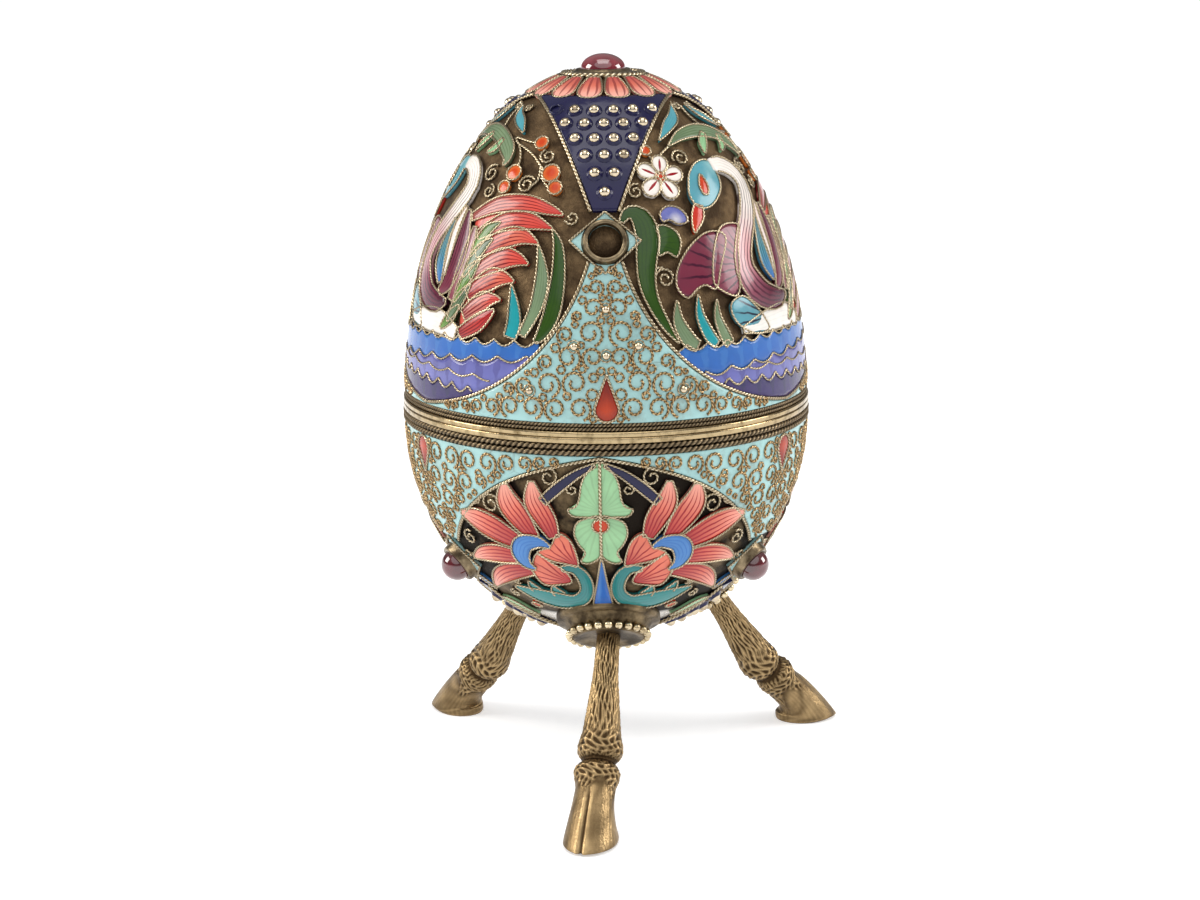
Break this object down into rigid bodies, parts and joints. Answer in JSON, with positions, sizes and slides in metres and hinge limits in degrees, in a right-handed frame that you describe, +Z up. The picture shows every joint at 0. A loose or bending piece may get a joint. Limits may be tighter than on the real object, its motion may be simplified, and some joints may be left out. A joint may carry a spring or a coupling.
{
  "type": "decorative egg on stand",
  "caption": "Enamelled egg-shaped box with a lift-off lid, wire cell ornament and domed stones, standing on hoofed legs.",
  "frame": {"origin": "point on the floor under the egg's axis, in the plane of the three soles", "axes": "+Z up along the egg axis, -Y towards the front panel, +X to the right of it"},
  "size_m": [0.0671, 0.0692, 0.1097],
  "materials": {
    "gilt_ground": "stippled, oxidised gilding",
    "polished_gilt": "polished gilding",
    "rope_wire": "twisted gilt wire, dark in its grooves",
    "antique_gilt": "antique gilding with brown patina",
    "turquoise_enamel": "glossy enamel",
    "navy_enamel": "glossy enamel",
    "coral_enamel": "glossy enamel",
    "garnet": "polished domed stone",
    "swan_enamel": "glossy enamel in white, pink and turquoise",
    "wave_enamel": "glossy enamel in blues",
    "leaf_enamel": "glossy enamel in greens",
    "flower_enamel": "glossy enamel in corals and whites"
  },
  "bodies": {
    "bowl": {"bead_ring_front": "polished_gilt", "bead_ring_left": "polished_gilt", "bead_ring_right": "polished_gilt", "bowl_collets": "polished_gilt", "bowl_field_borders": "rope_wire", "bowl_flange": "polished_gilt", "bowl_flowers": "coral_enamel", "bowl_garnets": "garnet", "bowl_leaves": "leaf_enamel", "bowl_lilies": "leaf_enamel", "bowl_navy_borders": "rope_wire", "bowl_navy_fields": "navy_enamel", "bowl_rim": "polished_gilt", "bowl_rope_bands": "rope_wire", "bowl_setting_plates": "navy_enamel", "bowl_shell": "gilt_ground", "bowl_shots": "polished_gilt", "bowl_teardrop_wires": "rope_wire", "bowl_teardrops": "coral_enamel", "bowl_turquoise_fields": "turquoise_enamel", "collar_front": "antique_gilt", "collar_left": "antique_gilt", "collar_right": "antique_gilt", "leg_front": "antique_gilt", "leg_left": "antique_gilt", "leg_right": "antique_gilt"},
    "lid": {"crown_bezel": "polished_gilt", "crown_cabochon": "garnet", "crown_petals": "coral_enamel", "crown_rope_ring": "rope_wire", "front_collet": "polished_gilt", "lid_blossoms": "flower_enamel", "lid_collets": "polished_gilt", "lid_field_borders": "rope_wire", "lid_garnets": "garnet", "lid_granules": "polished_gilt", "lid_leaves": "leaf_enamel", "lid_navy_borders": "rope_wire", "lid_navy_fields": "navy_enamel", "lid_rim": "polished_gilt", "lid_rope_bands": "rope_wire", "lid_setting_plates": "navy_enamel", "lid_shell": "gilt_ground", "lid_shots": "polished_gilt", "lid_swans": "swan_enamel", "lid_tails": "coral_enamel", "lid_teardrop_wires": "rope_wire", "lid_teardrops": "coral_enamel", "lid_turquoise_fields": "turquoise_enamel", "lid_waves": "wave_enamel"}
  },
  "joints": [
    {"name": "lid_lift", "type": "slide", "parent": "bowl", "child": "lid", "axis": [0, 0, 1], "range_m": [0, 0.06]}
  ]
}
